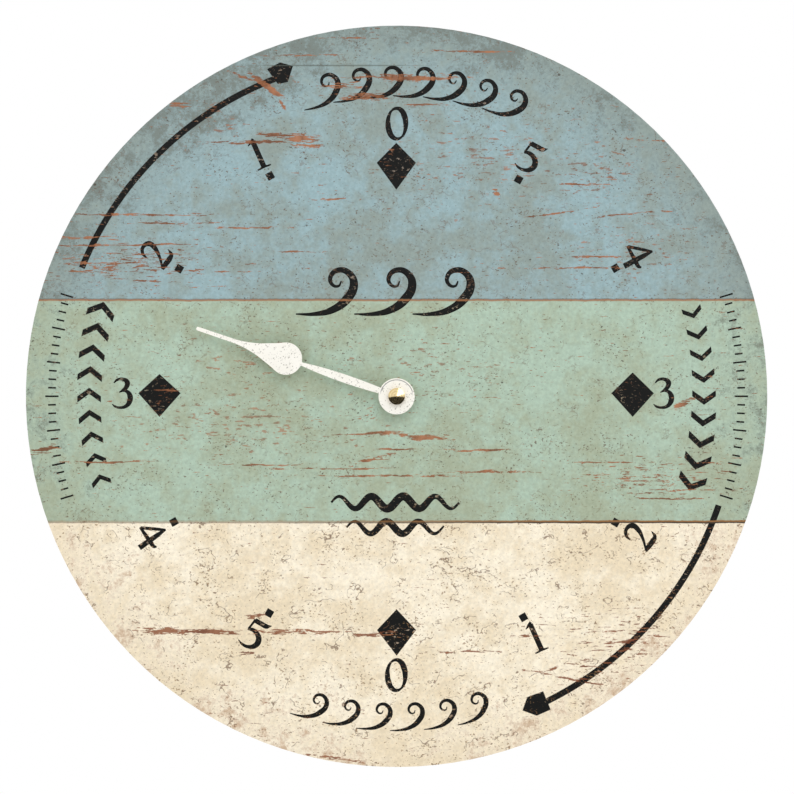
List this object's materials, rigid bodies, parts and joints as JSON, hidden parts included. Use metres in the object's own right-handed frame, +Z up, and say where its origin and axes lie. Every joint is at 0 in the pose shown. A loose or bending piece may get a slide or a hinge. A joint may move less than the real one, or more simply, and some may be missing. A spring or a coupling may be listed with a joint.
{
  "type": "tide clock",
  "caption": "Round wall tide clock: printed board dial, single spade hand under a brass cone nut, and behind it a battery quartz movement with setting knob and keyhole hanger.",
  "frame": {"origin": "on the hand's axis, in the plane of the wall, which the rear cover of the movement touches", "axes": "+Z is up, +Y points into the wall, and the dial faces -Y"},
  "size_m": [0.2666, 0.0328, 0.2666],
  "materials": {
    "fibreboard": "painted edge, bare back",
    "printed_face": "matt print of weathered painted boards",
    "hand_paint": "warm white paint with fine specks",
    "turned_brass": "bright turned brass",
    "zinc_steel": "zinc plated",
    "gasket_rubber": "matt black",
    "case_plastic": "fine moulded texture",
    "gear_plastic": "natural acetal",
    "knob_plastic": "moulded white",
    "magnet": "sintered",
    "motor_iron": "punched sheet",
    "bobbin_plastic": "moulded",
    "copper_wire": "enamelled wire",
    "laminate": "solder resist",
    "chip_resin": "cast resin",
    "crystal_can": "drawn can",
    "battery_sleeve": "printed sleeve",
    "contact_steel": "nickel plated"
  },
  "bodies": {
    "clock": {"dial_board": "fibreboard", "dial_print": "printed_face", "threaded_bush": "turned_brass", "front_washer": "turned_brass", "fixing_nut": "turned_brass", "rubber_washer": "gasket_rubber", "hanger_plate": "zinc_steel", "case_front": "case_plastic", "case_rear": "case_plastic", "cover_screws": "zinc_steel", "train_bridge": "gear_plastic", "bridge_screws": "zinc_steel", "stator": "motor_iron", "coil_core": "motor_iron", "coil_bobbin": "bobbin_plastic", "coil_winding": "copper_wire", "motor_screws": "zinc_steel", "circuit_board": "laminate", "quartz_crystal": "crystal_can", "chip_cover": "chip_resin", "contact_positive": "contact_steel", "contact_negative": "contact_steel"},
    "hand": {"tide_hand": "hand_paint", "hand_bush": "turned_brass", "cap_nut": "turned_brass", "hand_shaft": "turned_brass", "setting_wheel": "gear_plastic", "tide_wheel": "gear_plastic", "clutch_spring": "zinc_steel", "clutch_ring": "zinc_steel"},
    "third": {"third_wheel": "gear_plastic"},
    "second": {"second_wheel": "gear_plastic"},
    "first": {"first_wheel": "gear_plastic"},
    "rotor": {"rotor_pinion": "gear_plastic", "rotor_magnet": "magnet"},
    "knob": {"setting_pinion": "gear_plastic", "setting_knob": "knob_plastic"},
    "battery": {"battery_cell": "battery_sleeve", "battery_terminal": "contact_steel"}
  },
  "joints": [
    {"name": "hand_turn", "type": "hinge", "parent": "clock", "child": "hand", "pos_m": [0, 0, 0], "axis": [0, 1, 0], "continuous": true},
    {"name": "third_turn", "type": "hinge", "parent": "clock", "child": "third", "pos_m": [0.00319, 0, 0.0089], "axis": [0, 1, 0], "continuous": true},
    {"name": "second_turn", "type": "hinge", "parent": "clock", "child": "second", "pos_m": [-0.00052, 0, 0.01743], "axis": [0, 1, 0], "continuous": true},
    {"name": "first_turn", "type": "hinge", "parent": "clock", "child": "first", "pos_m": [-0.00982, 0, 0.01747], "axis": [0, 1, 0], "continuous": true},
    {"name": "rotor_turn", "type": "hinge", "parent": "clock", "child": "rotor", "pos_m": [-0.01231, 0, 0.00851], "axis": [0, 1, 0], "continuous": true},
    {"name": "knob_turn", "type": "hinge", "parent": "clock", "child": "knob", "pos_m": [0.01195, 0, 0.00109], "axis": [0, 1, 0], "continuous": true},
    {"name": "battery_lift", "type": "slide", "parent": "clock", "child": "battery", "axis": [0, 1, 0], "range_m": [0, 0.02]}
  ],
  "couplings": [
    {"joint": "third_turn", "follows": "hand_turn", "ratio": -5.3},
    {"joint": "second_turn", "follows": "hand_turn", "ratio": 27.56},
    {"joint": "first_turn", "follows": "hand_turn", "ratio": -143.31},
    {"joint": "rotor_turn", "follows": "hand_turn", "ratio": 745.22},
    {"joint": "knob_turn", "follows": "hand_turn", "ratio": -1.6667}
  ]
}
